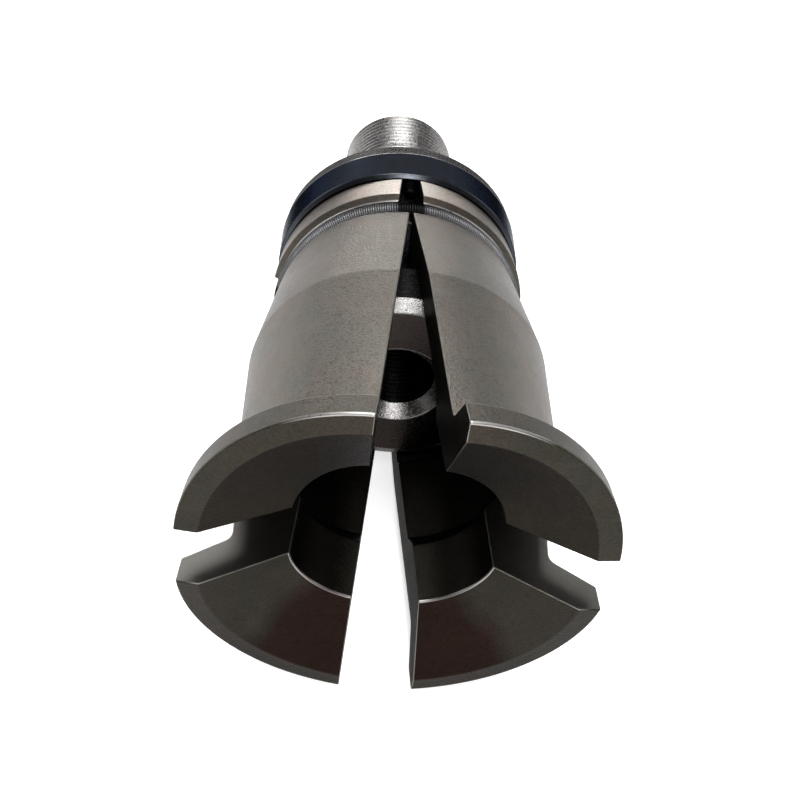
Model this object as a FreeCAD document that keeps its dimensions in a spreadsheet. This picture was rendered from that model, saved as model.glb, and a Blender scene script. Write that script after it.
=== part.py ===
import FreeCAD, Part
import math
import os
import Sketcher

# Four-jaw pull collet for the drawbar of a taper spindle.
# Local axis: 0 at the rear seating face of the shoulder, positive towards the mouth, all sizes in mm.
# Angles along the jaws are counted from the jaw's own middle plane.

SIZES = {
    # stud that screws into the drawbar, behind the shoulder
    "stud_radius": 10.0,
    "stud_thread_length": 11.5,
    "stud_relief_length": 3.0,
    "stud_relief_depth": 1.0,
    "stud_pilot_length": 13.1,
    "stud_chamfer": 1.0,
    # shoulder and the black ring in front of it, which slides over the head on to its register
    "shoulder_thickness": 2.6,
    "shoulder_chamfer": 0.3,
    "shoulder_drop": 0.35,
    "ring_thickness": 6.68,
    "ring_pass": 0.18,
    "ring_wall": 3.75,
    "ring_fit": 0.03,
    "ring_chamfer": 0.55,
    "register_setback": 1.2,
    # neck and head that the jaws hook behind
    "neck_radius": 10.5,
    "neck_length": 18.5,
    "neck_fillet": 0.8,
    "head_radius": 16.42,
    "head_length": 8.2,
    "head_bevel_width": 2.0,
    "head_bevel_depth": 1.14,
    "bore_radius": 5.46,
    "bore_depth": 26.0,
    "bore_point": 3.28,
    "countersink_radius": 7.45,
    # dowels that stand in the notches between the jaw collars
    "dowel_radius": 1.0,
    "dowel_sunk": 5.0,
    "dowel_stand": 2.7,
    "dowel_chamfer": 0.25,
    "dowel_gap": 0.35,
    # rocking line of a jaw, beside the head, and its travel
    "rock_inset": 0.42,
    "rock_ahead": 4.32,
    "open_angle": 7.8,
    # jaws, turned as one ring with the mouth closed
    "jaw_count": 4,
    "jaw_reach": 40.0,
    "flange_radius": 25.1,
    "flange_land": 3.61,
    "flange_face": 3.1,
    "flange_back": 8.05,
    "flange_root": 19.16,
    "flange_fillet": 1.0,
    "edge_chamfer": 0.25,
    "funnel_depth": 6.9,
    "lip_radius": 11.03,
    "lip_length": 9.6,
    "grip_radius": 14.3,
    "cavity_radius": 15.9,
    "ridge_radius": 22.3,
    "ridge_back": 35.4,
    "tail_radius": 21.27,
    "tail_fillet": 0.4,
    "collar_radius": 22.58,
    "collar_land_radius": 21.7,
    "collar_land": 0.4,
    "collar_step": 0.45,
    "collar_length": 6.42,
    "corner_gap": 0.52,
    # running gaps of the jaws
    "head_gap": 0.37,
    "head_front_gap": 0.9,
    "hook_gap": 0.3,
    "neck_gap": 0.4,
    "seat_gap": 0.22,
    # ring spring in the groove behind the jaw bodies
    "spring_diameter": 2.3,
    "spring_gap": 0.075,
    "groove_depth": 1.75,
}

doc = FreeCAD.newDocument("collet_chuck")
sheet = doc.addObject("Spreadsheet::Sheet", "Sizes")
for row, (word, number) in enumerate(SIZES.items(), start=1):
    sheet.set("A%d" % row, word)
    sheet.set("B%d" % row, str(number))
    sheet.setAlias("B%d" % row, word)
doc.recompute()


def cell(word):
    """Reference to one size in the sheet."""
    return "Sizes." + word


def number_of(expression):
    """Present value of an expression over the sheet, as a plain number."""
    found = sheet.evalExpression(expression)
    return float(getattr(found, "Value", found))


def total(*terms):
    """Sum of expressions, in brackets."""
    return "(" + " + ".join(terms) + ")"


def less(first, *others):
    """First expression minus the others, in brackets."""
    return "(" + " - ".join((first,) + others) + ")"


# Stations along the axis that several pieces share
RING_FACE = total(cell("shoulder_thickness"), cell("ring_thickness"))
RING_BORE = total(cell("head_radius"), cell("ring_pass"))
RING_RADIUS = total(RING_BORE, cell("ring_wall"))
SHOULDER_RADIUS = less(RING_RADIUS, cell("shoulder_drop"))
DOWEL_CIRCLE = total(RING_BORE, cell("ring_wall") + " / 2")
REGISTER_FACE = less(RING_FACE, cell("register_setback"))
HEAD_REAR = total(RING_FACE, cell("neck_length"))
HEAD_FACE = total(HEAD_REAR, cell("head_length"))
ROCK_RADIUS = less(cell("head_radius"), cell("rock_inset"))
ROCK_STATION = total(HEAD_REAR, cell("rock_ahead"))
JAW_FACE = total(ROCK_STATION, cell("jaw_reach"))
GROOVE_REAR = total(RING_FACE, cell("collar_length"))
GROOVE_WIDTH = total(cell("spring_diameter"), "2 * " + cell("spring_gap"))
GROOVE_FRONT = total(GROOVE_REAR, GROOVE_WIDTH)
GROOVE_FLOOR = less(cell("tail_radius"), cell("groove_depth"))
OPEN_SIN = "sin(Sizes.open_angle * 1 deg)"
OPEN_COS = "cos(Sizes.open_angle * 1 deg)"
HALF_PITCH_SIN = "sin(180 deg / Sizes.jaw_count)"
HALF_PITCH_COS = "cos(180 deg / Sizes.jaw_count)"


def folded(radius, station):
    """Closed place of a point of the jaw that is given where it lies with the jaw open."""
    out = less(radius, ROCK_RADIUS)
    along = less(station, ROCK_STATION)
    closed_radius = "(%s + %s * %s - %s * %s)" % (ROCK_RADIUS, out, OPEN_COS, along, OPEN_SIN)
    closed_station = "(%s + %s * %s + %s * %s)" % (ROCK_STATION, out, OPEN_SIN, along, OPEN_COS)
    return closed_radius, closed_station


def origin_plane(body, role):
    """Origin plane of a body by its role."""
    return next(f for f in body.Origin.OriginFeatures if f.Role == role)


def polygon_sketch(body, name, role, outlines):
    """Sketch of closed outlines whose corners are bound to pairs of expressions."""
    sketch = body.newObject("Sketcher::SketchObject", name)
    sketch.AttachmentSupport = (origin_plane(body, role), [""])
    sketch.MapMode = "FlatFace"
    for outline in outlines:
        places = [(number_of(x), number_of(y)) for x, y in outline]
        first = sketch.GeometryCount
        count = len(outline)
        for i in range(count):
            here = FreeCAD.Vector(places[i][0], places[i][1], 0)
            following = places[(i + 1) % count]
            there = FreeCAD.Vector(following[0], following[1], 0)
            sketch.addGeometry(Part.LineSegment(here, there), False)
        for i in range(count):
            following = first + (i + 1) % count
            sketch.addConstraint(Sketcher.Constraint("Coincident", first + i, 2, following, 1))
        for i in range(count):
            bind_corner(sketch, first + i, "DistanceX", places[i][0], outline[i][0], -2)
            bind_corner(sketch, first + i, "DistanceY", places[i][1], outline[i][1], -1)
    doc.recompute()
    return sketch


def bind_corner(sketch, line, kind, place, expression, axis):
    """One coordinate of a corner, held by its expression or by the axis that it lies on."""
    if abs(place) < 1e-9:
        sketch.addConstraint(Sketcher.Constraint("PointOnObject", line, 1, axis))
        return
    if place > 0:
        index = sketch.addConstraint(Sketcher.Constraint(kind, -1, 1, line, 1, place))
        sketch.setExpression("Constraints[%d]" % index, expression)
    else:
        index = sketch.addConstraint(Sketcher.Constraint(kind, line, 1, -1, 1, -place))
        sketch.setExpression("Constraints[%d]" % index, "-1 * " + expression)


def turned(body, name, outline):
    """Solid of revolution of an outline given as radius and station."""
    sketch = polygon_sketch(body, name + "_profile", "XZ_Plane", [outline])
    feature = body.newObject("PartDesign::Revolution", name)
    feature.Profile = sketch
    feature.ReferenceAxis = (sketch, ["V_Axis"])
    feature.Angle = 360
    doc.recompute()
    return feature


def circle_edges(feature, radius, station):
    """Names of the circular edges of a turned feature at a radius and station."""
    found = []
    for i, edge in enumerate(feature.Shape.Edges, start=1):
        box = edge.BoundBox
        flat = box.ZMax - box.ZMin < 1e-4
        if flat and abs(box.ZMax - station) < 1e-3 and abs(box.XMax - radius) < 1e-3:
            found.append("Edge%d" % i)
    return found


def blended(body, kind, name, base, radius, station, size_word):
    """Fillet or chamfer on the circular edge at a radius and station."""
    edges = circle_edges(base, number_of(radius), number_of(station))
    feature = body.newObject("PartDesign::" + kind, name)
    feature.Base = (base, edges)
    if kind == "Fillet":
        feature.Radius = number_of(cell(size_word))
        feature.setExpression("Radius", cell(size_word))
    else:
        feature.Size = number_of(cell(size_word))
        feature.setExpression("Size", cell(size_word))
    doc.recompute()
    return feature


# The whole chuck lies on its side: the mouth faces -Y and the slots stand up, down, left and right
LAY = FreeCAD.Placement(FreeCAD.Vector(0, 0, 0), FreeCAD.Rotation(FreeCAD.Vector(1, 0, 0), 90))
ABOUT = FreeCAD.Vector(0, 0, 1)


def make_hub():
    """Stud, shoulder, ring register, neck and head turned from one bar, with the threaded bore."""
    body = doc.addObject("PartDesign::Body", "drawbar_hub")
    pilot = cell("stud_pilot_length")
    relief_end = total(pilot, cell("stud_relief_length"))
    stud_end = total(relief_end, cell("stud_thread_length"))
    relief = less(cell("stud_radius"), cell("stud_relief_depth"))
    register = less(RING_BORE, cell("ring_fit"))
    outline = [
        ("0", "-1 * " + stud_end),
        (less(cell("stud_radius"), cell("stud_chamfer")), "-1 * " + stud_end),
        (cell("stud_radius"), "-1 * " + less(stud_end, cell("stud_chamfer"))),
        (cell("stud_radius"), "-1 * " + relief_end),
        (relief, "-1 * " + less(relief_end, cell("stud_relief_depth"))),
        (relief, "-1 * " + pilot),
        (cell("stud_radius"), "-1 * " + pilot),
        (cell("stud_radius"), "0"),
        (less(SHOULDER_RADIUS, cell("shoulder_chamfer")), "0"),
        (SHOULDER_RADIUS, cell("shoulder_chamfer")),
        (SHOULDER_RADIUS, less(cell("shoulder_thickness"), cell("edge_chamfer"))),
        (less(SHOULDER_RADIUS, cell("edge_chamfer")), cell("shoulder_thickness")),
        (register, cell("shoulder_thickness")),
        (register, less(REGISTER_FACE, cell("ring_chamfer"))),
        (less(register, cell("ring_chamfer")), REGISTER_FACE),
        (cell("neck_radius"), REGISTER_FACE),
        (cell("neck_radius"), HEAD_REAR),
        (cell("head_radius"), HEAD_REAR),
        (cell("head_radius"), less(HEAD_FACE, cell("head_bevel_depth"))),
        (less(cell("head_radius"), cell("head_bevel_width")), HEAD_FACE),
        ("0", HEAD_FACE),
    ]
    base = turned(body, "hub_bar", outline)
    blended(body, "Fillet", "neck_root", base, cell("neck_radius"), REGISTER_FACE, "neck_fillet")
    sink = less(cell("countersink_radius"), cell("bore_radius"))
    bore = [
        ("0", HEAD_FACE),
        (cell("countersink_radius"), HEAD_FACE),
        (cell("bore_radius"), less(HEAD_FACE, sink)),
        (cell("bore_radius"), less(HEAD_FACE, cell("bore_depth"))),
        ("0", less(HEAD_FACE, cell("bore_depth"), cell("bore_point"))),
    ]
    sketch = polygon_sketch(body, "bore_profile", "XZ_Plane", [bore])
    groove = body.newObject("PartDesign::Groove", "threaded_bore")
    groove.Profile = sketch
    groove.ReferenceAxis = (sketch, ["V_Axis"])
    groove.Angle = 360
    doc.recompute()
    body.Placement = LAY
    return body


def make_ring():
    """Black ring on the register, with four blind holes for the dowels."""
    body = doc.addObject("PartDesign::Body", "thrust_ring")
    bevel = cell("ring_chamfer")
    outline = [
        (RING_BORE, total(cell("shoulder_thickness"), bevel)),
        (total(RING_BORE, bevel), cell("shoulder_thickness")),
        (RING_RADIUS, cell("shoulder_thickness")),
        (RING_RADIUS, less(RING_FACE, bevel)),
        (less(RING_RADIUS, bevel), RING_FACE),
        (total(RING_BORE, bevel), RING_FACE),
        (RING_BORE, less(RING_FACE, bevel)),
    ]
    turned(body, "ring_blank", outline)
    sketch = body.newObject("Sketcher::SketchObject", "dowel_hole_sketch")
    sketch.AttachmentSupport = (origin_plane(body, "XY_Plane"), [""])
    sketch.MapMode = "FlatFace"
    sketch.setExpression("AttachmentOffset.Base.z", RING_FACE)
    centre = FreeCAD.Vector(number_of(DOWEL_CIRCLE), 0, 0)
    sketch.addGeometry(Part.Circle(centre, ABOUT, number_of(cell("dowel_radius"))), False)
    radius = sketch.addConstraint(Sketcher.Constraint("Radius", 0, number_of(cell("dowel_radius"))))
    sketch.setExpression("Constraints[%d]" % radius, cell("dowel_radius"))
    sketch.addConstraint(Sketcher.Constraint("PointOnObject", 0, 3, -1))
    place = Sketcher.Constraint("DistanceX", -1, 1, 0, 3, centre.x)
    place = sketch.addConstraint(place)
    sketch.setExpression("Constraints[%d]" % place, DOWEL_CIRCLE)
    doc.recompute()
    hole = body.newObject("PartDesign::Pocket", "dowel_hole")
    hole.Profile = sketch
    hole.Type = "Length"
    hole.Length = number_of(cell("dowel_sunk"))
    hole.setExpression("Length", cell("dowel_sunk"))
    doc.recompute()
    pattern = body.newObject("PartDesign::PolarPattern", "dowel_holes")
    pattern.Originals = [hole]
    pattern.Axis = (sketch, ["N_Axis"])
    pattern.Angle = 360
    pattern.Occurrences = int(number_of(cell("jaw_count")))
    pattern.setExpression("Occurrences", cell("jaw_count"))
    body.Tip = pattern
    doc.recompute()
    body.Placement = LAY
    return body


def make_dowel(index):
    """Hardened dowel pressed in the ring, standing in the notch between two collars."""
    body = doc.addObject("PartDesign::Body", "dowel_%d" % (index + 1))
    bottom = less(RING_FACE, cell("dowel_sunk"))
    top = total(RING_FACE, cell("dowel_stand"))
    bevel = cell("dowel_chamfer")
    slim = less(cell("dowel_radius"), bevel)
    outline = [
        ("0", bottom),
        (slim, bottom),
        (cell("dowel_radius"), total(bottom, bevel)),
        (cell("dowel_radius"), less(top, bevel)),
        (slim, top),
        ("0", top),
    ]
    turned(body, "dowel_%d_pin" % (index + 1), outline)
    angle = 360.0 * index / number_of(cell("jaw_count"))
    around = FreeCAD.Placement(FreeCAD.Vector(0, 0, 0), FreeCAD.Rotation(ABOUT, angle))
    outward = FreeCAD.Placement(FreeCAD.Vector(number_of(DOWEL_CIRCLE), 0, 0), FreeCAD.Rotation())
    body.Placement = LAY * around * outward
    return body


# The kept sector runs out past the flange, inside a larger square of waste
WEDGE_REACH = "(2 * Sizes.flange_radius)"
WASTE_SIDE = "(3 * %s)" % WEDGE_REACH


def wedge(apex, reach):
    """Corners of the sector kept between two saw cuts, its point moved out to the given distance."""
    side = "%s * %s / %s" % (less(reach, apex), HALF_PITCH_SIN, HALF_PITCH_COS)
    return [(apex, "0"), (reach, "-1 * (" + side + ")"), (reach, "(" + side + ")")]


def saw_cut(body, name, apex, length):
    """Removes everything outside the kept sector, up to a station or all the way."""
    side = WASTE_SIDE
    frame = [("-1 * " + side, "-1 * " + side), (side, "-1 * " + side), (side, side), ("-1 * " + side, side)]
    sketch = polygon_sketch(body, name + "_sketch", "XY_Plane", [frame, wedge(apex, WEDGE_REACH)])
    cut = body.newObject("PartDesign::Pocket", name)
    cut.Profile = sketch
    cut.Reversed = True
    cut.Type = "Length"
    cut.Length = number_of(length)
    cut.setExpression("Length", length)
    doc.recompute()
    return cut


# Half widths of the cuts between the jaws, so that the open jaws clear each other and the dowels
BACK_SHIFT = "(%s * %s)" % (less(ROCK_STATION, GROOVE_FRONT), OPEN_SIN)
FACE_SHIFT = "(%s * %s)" % (less(ROCK_STATION, RING_FACE), OPEN_SIN)
HALF_SLOT = "(Sizes.corner_gap / 2 + %s * %s)" % (BACK_SHIFT, HALF_PITCH_SIN)
HALF_NOTCH = "(Sizes.dowel_radius + Sizes.dowel_gap + %s * %s)" % (FACE_SHIFT, HALF_PITCH_SIN)


def make_jaw(index):
    """One quarter of the turned jaw ring, sawn out and rocked open on the head."""
    name = "jaw_%d" % (index + 1)
    body = doc.addObject("PartDesign::Body", name)
    face_inner = less(cell("flange_radius"), cell("flange_face"))
    funnel_end = less(JAW_FACE, cell("funnel_depth"))
    lip_end = less(funnel_end, cell("lip_length"))
    grip_rise = less(cell("grip_radius"), cell("lip_radius"))
    wall = total(cell("head_radius"), cell("head_gap"))
    cavity_end = total(HEAD_FACE, cell("head_front_gap"))
    seat = total(RING_FACE, cell("seat_gap"))
    bore = total(cell("neck_radius"), cell("neck_gap"))
    corner_rise = "(%s * (1 - %s) * %s)" % (wall, HALF_PITCH_COS, OPEN_SIN)
    hook = less(HEAD_REAR, cell("hook_gap"), corner_rise)
    rock_wall = folded(wall, ROCK_STATION)
    heel = folded(bore, seat)
    land_end = less(GROOVE_REAR, cell("collar_land"))
    collar_rise = "%s * %s / %s" % (less(cell("collar_radius"), heel[0]), OPEN_SIN, OPEN_COS)
    collar_rear = total(heel[1], collar_rise)
    outline = [
        (cell("lip_radius"), funnel_end),
        (face_inner, JAW_FACE),
        (cell("flange_radius"), JAW_FACE),
        (cell("flange_radius"), less(JAW_FACE, cell("flange_land"))),
        (cell("flange_root"), less(JAW_FACE, cell("flange_back"))),
        (cell("ridge_radius"), less(JAW_FACE, cell("ridge_back"))),
        (cell("tail_radius"), GROOVE_FRONT),
        (GROOVE_FLOOR, GROOVE_FRONT),
        (GROOVE_FLOOR, GROOVE_REAR),
        (cell("collar_land_radius"), GROOVE_REAR),
        (cell("collar_land_radius"), land_end),
        (cell("collar_radius"), less(land_end, cell("collar_step"))),
        (cell("collar_radius"), collar_rear),
        heel,
        folded(bore, hook),
        folded(wall, hook),
        rock_wall,
        (rock_wall[0], HEAD_FACE),
        (cell("cavity_radius"), cavity_end),
        (cell("grip_radius"), less(lip_end, grip_rise)),
        (cell("lip_radius"), lip_end),
    ]
    blank = turned(body, name + "_blank", outline)
    root = blended(
        body, "Fillet", name + "_root", blank,
        cell("flange_root"), less(JAW_FACE, cell("flange_back")), "flange_fillet")
    tail = blended(
        body, "Fillet", name + "_tail", root, cell("tail_radius"), GROOVE_FRONT, "tail_fillet")
    blended(body, "Chamfer", name + "_rim", tail, cell("flange_radius"), JAW_FACE, "edge_chamfer")
    saw_cut(body, name + "_slot", "(%s / %s)" % (HALF_SLOT, HALF_PITCH_SIN), "(2 * %s)" % JAW_FACE)
    saw_cut(body, name + "_notch", "(%s / %s)" % (HALF_NOTCH, HALF_PITCH_SIN), GROOVE_FRONT)
    rock_line = FreeCAD.Vector(number_of(ROCK_RADIUS), 0, number_of(ROCK_STATION))
    tilt = FreeCAD.Rotation(FreeCAD.Vector(0, 1, 0), number_of(cell("open_angle")))
    opened = FreeCAD.Placement(FreeCAD.Vector(0, 0, 0), tilt, rock_line)
    angle = 360.0 * (index + 0.5) / number_of(cell("jaw_count"))
    around = FreeCAD.Placement(FreeCAD.Vector(0, 0, 0), FreeCAD.Rotation(ABOUT, angle))
    body.Placement = LAY * around * opened
    return body


def opened_point(radius, turn, station, index):
    """Place of a point of a jaw, given closed by radius, turn and station, with the jaw open."""
    rock_radius = number_of(ROCK_RADIUS)
    rock_station = number_of(ROCK_STATION)
    tilt = math.radians(number_of(cell("open_angle")))
    out = radius * math.cos(turn) - rock_radius
    along = station - rock_station
    x = rock_radius + out * math.cos(tilt) + along * math.sin(tilt)
    y = radius * math.sin(turn)
    w = rock_station - out * math.sin(tilt) + along * math.cos(tilt)
    middle = 2 * math.pi * (index + 0.5) / number_of(cell("jaw_count"))
    return FreeCAD.Vector(
        x * math.cos(middle) - y * math.sin(middle), x * math.sin(middle) + y * math.cos(middle), w)


def make_spring():
    """Ring spring as one closed round wire: an arc in each jaw's groove and a bend across each notch."""
    count = int(number_of(cell("jaw_count")))
    thick = number_of(cell("spring_diameter")) / 2
    ring = number_of(GROOVE_FLOOR) + number_of(cell("spring_gap")) + thick
    station = (number_of(GROOVE_REAR) + number_of(GROOVE_FRONT)) / 2
    half = math.pi / count - math.asin(number_of(HALF_NOTCH) / ring)
    arcs = []
    for index in range(count):
        start = opened_point(ring, -half, station, index)
        middle = opened_point(ring, 0.0, station, index)
        end = opened_point(ring, half, station, index)
        hold = Part.Arc(start, middle, end).toShape()
        arcs.append(hold)
        following = opened_point(ring, -half, station, (index + 1) % count)
        ahead = hold.tangentAt(hold.LastParameter)
        chord = following - end
        across = FreeCAD.Vector(chord).normalize()
        rise = ahead - across * ahead.dot(across)
        bend = math.atan2(rise.Length, ahead.dot(across))
        crown = end + chord * 0.5 + rise.normalize() * (chord.Length / 2 * math.tan(bend / 2))
        arcs.append(Part.Arc(end, crown, following).toShape())
    rods = []
    for arc in arcs:
        begin = arc.FirstParameter
        section = Part.Circle(arc.valueAt(begin), arc.tangentAt(begin), thick)
        face = Part.Face(Part.Wire([section.toShape()]))
        sweep = math.degrees(arc.LastParameter - begin)
        rods.append(face.revolve(arc.Curve.Center, arc.Curve.Axis, sweep))
    solid = rods[0].multiFuse(rods[1:])
    length = sum(arc.Length for arc in arcs)
    expected = length * math.pi * thick ** 2
    print("spring length %.2f, volume %.2f, expected %.2f" % (length, solid.Volume, expected))
    spring = doc.addObject("Part::Feature", "garter_spring")
    spring.Shape = solid
    spring.Placement = LAY
    return spring


pieces = []
pieces.append(make_hub())
pieces.append(make_ring())
for position in range(int(number_of(cell("jaw_count")))):
    pieces.append(make_dowel(position))
for position in range(int(number_of(cell("jaw_count")))):
    pieces.append(make_jaw(position))
pieces.append(make_spring())
doc.recompute()

faults = [o.Name for o in doc.Objects if "Invalid" in o.State or "Error" in o.State]
for piece in pieces:
    piece.Label = piece.Name
    shape = piece.Shape
    if shape.isNull() or not shape.isValid() or len(shape.Solids) != 1:
        faults.append(piece.Name)
if faults:
    raise SystemExit("faulty: " + ", ".join(faults))

os.makedirs("parts", exist_ok=True)
for piece in pieces:
    shape = piece.Shape
    shape.exportStep("parts/%s.step" % piece.Label)
    print("%-14s volume %.1f  faces %d" % (piece.Label, shape.Volume, len(shape.Faces)))
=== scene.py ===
import math
import bmesh
import bpy
import numpy as np
from mathutils import Matrix


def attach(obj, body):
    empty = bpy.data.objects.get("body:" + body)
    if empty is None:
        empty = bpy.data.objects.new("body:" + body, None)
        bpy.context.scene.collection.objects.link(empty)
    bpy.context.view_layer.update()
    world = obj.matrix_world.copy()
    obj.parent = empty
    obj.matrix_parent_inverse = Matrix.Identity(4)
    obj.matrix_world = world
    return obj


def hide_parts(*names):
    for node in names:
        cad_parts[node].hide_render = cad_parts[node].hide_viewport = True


# Four-jaw pull collet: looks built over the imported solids.
# The pieces' lengths are millimetres: r from the axis, w from the shoulder's rear face to the mouth.

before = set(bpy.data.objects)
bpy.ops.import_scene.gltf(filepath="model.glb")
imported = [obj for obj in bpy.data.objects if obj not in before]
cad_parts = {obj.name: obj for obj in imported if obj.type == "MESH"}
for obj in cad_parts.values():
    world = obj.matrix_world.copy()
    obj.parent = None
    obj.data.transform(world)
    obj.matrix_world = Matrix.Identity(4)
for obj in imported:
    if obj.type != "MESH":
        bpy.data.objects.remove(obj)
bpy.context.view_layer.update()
bpy.context.scene.view_settings.view_transform = "Standard"
print("frame loaded", len(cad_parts), "nodes")

layout = dict(
    jawCount=4,
    rockRadius=16.0,      # the line that a jaw rocks on, beside the head
    rockStation=32.1,
    openAngle=7.8,
    unroll=0.01,          # height of the unrolled map for a millimetre along the axis
)


def toRow(points):
    # a point (x, y, w) about the chuck's axis goes to (x, -w, y) in the row's frame, in metres
    return np.stack([points[..., 0], -points[..., 2], points[..., 1]], -1) * 0.001


# how corners are rounded: the steps of a curve, its largest share of the shorter side, how far the support
# points lie past it, and their largest share of that room
rounding = dict(steps=4, share=0.42, support=0.12, supportShare=0.15)


def softProfile(corners, closed):
    # outline (r, w, rounding, tone of the side that follows, wear and painted highlight of the corner):
    # each corner P becomes the curve (1-s)^2 (P+tb) + 2s(1-s) P + s^2 (P+ta), where b points back and a
    # ahead along its sides and t is the rounding, with one support point past each end; marks holds the wear
    # and painted highlight on a rounding and the tone of the side
    steps = rounding["steps"]
    pts = np.array([c[:2] for c in corners], float)
    soft = np.array([c[2] for c in corners], float)
    before, after = np.roll(pts, 1, 0) - pts, np.roll(pts, -1, 0) - pts
    lenB, lenA = np.linalg.norm(before, axis=1), np.linalg.norm(after, axis=1)
    back, ahead = before / lenB[:, None], after / lenA[:, None]
    room = np.minimum(lenA, lenB) * rounding["share"]
    t = np.minimum(soft, room)
    s = np.linspace(0, 1, steps + 1)[None, :, None]
    p, tb, ta = pts[:, None], (t[:, None] * back)[:, None], (t[:, None] * ahead)[:, None]
    curve = (1 - s) ** 2 * (p + tb) + 2 * s * (1 - s) * p + s ** 2 * (p + ta)
    extra = np.minimum(rounding["support"], room * rounding["supportShare"])[:, None]
    first = (pts + (t[:, None] + extra) * back)[:, None]
    last = (pts + (t[:, None] + extra) * ahead)[:, None]
    line = np.concatenate([first, curve, last], 1)
    tone = np.array([c[3] if len(c) > 3 else 0.0 for c in corners], float)
    marks = np.zeros(line.shape[:2] + (2,))
    marks[:, 1:-1, 0] = np.array([c[4] if len(c) > 4 else 0.0 for c in corners])[:, None]
    k = steps + 3           # points that a corner becomes
    marks[:, :k // 2, 1] = np.roll(tone, 1)[:, None]
    marks[:, k // 2:, 1] = tone[:, None]
    line, marks = line.reshape(-1, 2), marks.reshape(-1, 2)
    if not closed:          # an open outline starts and ends on its own first and last corner
        line = np.concatenate([pts[:1], line[k:-k], pts[-1:]])
        marks = np.concatenate([[[0, tone[0]]], marks[k:-k], [[0, tone[-2]]]])
    return line, marks


def refined(line, marks, start, end, gap):
    # rows every gap millimetres along the straight run between the outline's points nearest to start and end
    i = int(np.argmin(np.hypot(line[:, 0] - start[0], line[:, 1] - start[1])))
    j = int(np.argmin(np.hypot(line[:, 0] - end[0], line[:, 1] - end[1])))
    lo, hi = min(i, j), max(i, j)
    count = max(int(np.linalg.norm(line[hi] - line[lo]) / gap), 2)
    s = np.linspace(0, 1, count + 1)[1:-1, None]
    inner = line[lo] * (1 - s) + line[hi] * s
    plain = np.repeat([[0, marks[lo, 1]]], len(inner), 0)
    return (np.concatenate([line[:lo + 1], inner, line[hi:]]),
            np.concatenate([marks[:lo + 1], plain, marks[hi:]]))


def gridFaces(rows, columns, wrapRows, wrapColumns, offset=0):
    # quads of a grid whose point (i, j) has the number i * columns + j, closed round where asked
    i = np.arange(rows if wrapRows else rows - 1)[:, None]
    j = np.arange(columns if wrapColumns else columns - 1)[None, :]
    i2, j2 = (i + 1) % rows, (j + 1) % columns
    quads = np.stack([i * columns + j, i * columns + j2, i2 * columns + j2, i2 * columns + j], -1)
    return quads.reshape(-1, 4) + offset


def newPiece(name, verts, faces, uv, marks, flat=0):
    # mesh from point and face lists; the last flat faces are shaded flat and take the second material
    mesh = bpy.data.meshes.new(name)
    mesh.from_pydata(verts.tolist(), [], faces)
    loops = np.zeros(len(mesh.loops), np.int32)
    mesh.loops.foreach_get("vertex_index", loops)
    layer = mesh.uv_layers.new(name="turned")
    layer.data.foreach_set("uv", uv[loops].astype(np.float32).ravel())
    for k, label in enumerate(("wearAndSheen", "tone")):
        mark = mesh.attributes.new(label, "FLOAT", "POINT")
        mark.data.foreach_set("value", marks[:, k].astype(np.float32))
    smooth = np.ones(len(mesh.polygons), bool)
    index = np.zeros(len(mesh.polygons), np.int32)
    if flat:
        smooth[-flat:] = False
        index[-flat:] = 1
    mesh.polygons.foreach_set("use_smooth", smooth)
    piece = bpy.data.objects.new(name, mesh)
    bpy.context.scene.collection.objects.link(piece)
    mesh.materials.append(None)
    if flat:
        mesh.materials.append(None)
    mesh.polygons.foreach_set("material_index", index)
    shell = bmesh.new()
    shell.from_mesh(mesh)
    bmesh.ops.recalc_face_normals(shell, faces=shell.faces)
    shell.to_mesh(mesh)
    shell.free()
    mesh.update()
    return piece


def turnedShell(line, marks, columns, closed, thread=None):
    # surface of revolution: point (i, j) is the outline's point i turned by 2 pi j / columns about the axis,
    # its radius less thread(r, w, turn) where there is one
    turn = np.linspace(0, 2 * np.pi, columns, endpoint=False)
    r = np.repeat(line[:, :1], columns, 1)
    w = np.repeat(line[:, 1:], columns, 1)
    if thread is not None:
        r = r - thread(r, w, turn[None, :])
    x, y = r * np.cos(turn), r * np.sin(turn)
    grid = np.stack([x, y, w], -1)
    uvGrid = np.stack([np.repeat(turn[None, :], len(line), 0) / (2 * np.pi), w * layout["unroll"]], -1)
    markGrid = np.repeat(marks[:, None], columns, 1)
    if closed:
        faces = gridFaces(len(line), columns, True, True)
        return grid.reshape(-1, 3), faces[:, ::-1].tolist(), uvGrid.reshape(-1, 2), markGrid.reshape(-1, 2)
    between = slice(1, -1)   # the first and last points lie on the axis and become poles
    verts = grid[between].reshape(-1, 3)
    poles = np.array([[0, 0, line[0, 1]], [0, 0, line[-1, 1]]])
    rows = len(line) - 2
    faces = gridFaces(rows, columns, False, True)[:, ::-1].tolist()
    j = np.arange(columns)
    j2 = (j + 1) % columns
    top = (rows - 1) * columns
    a, b = rows * columns, rows * columns + 1
    faces += np.stack([np.full(columns, a), j2, j], 1).tolist()
    faces += np.stack([np.full(columns, b), top + j, top + j2], 1).tolist()
    poleUv = np.stack([[0, 0], line[[0, -1], 1] * layout["unroll"]], -1)
    uv = np.concatenate([uvGrid[between].reshape(-1, 2), poleUv])
    marks = np.concatenate([markGrid[between].reshape(-1, 2), marks[[0, -1]]])
    return np.concatenate([verts, poles]), faces, uv, marks


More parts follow.
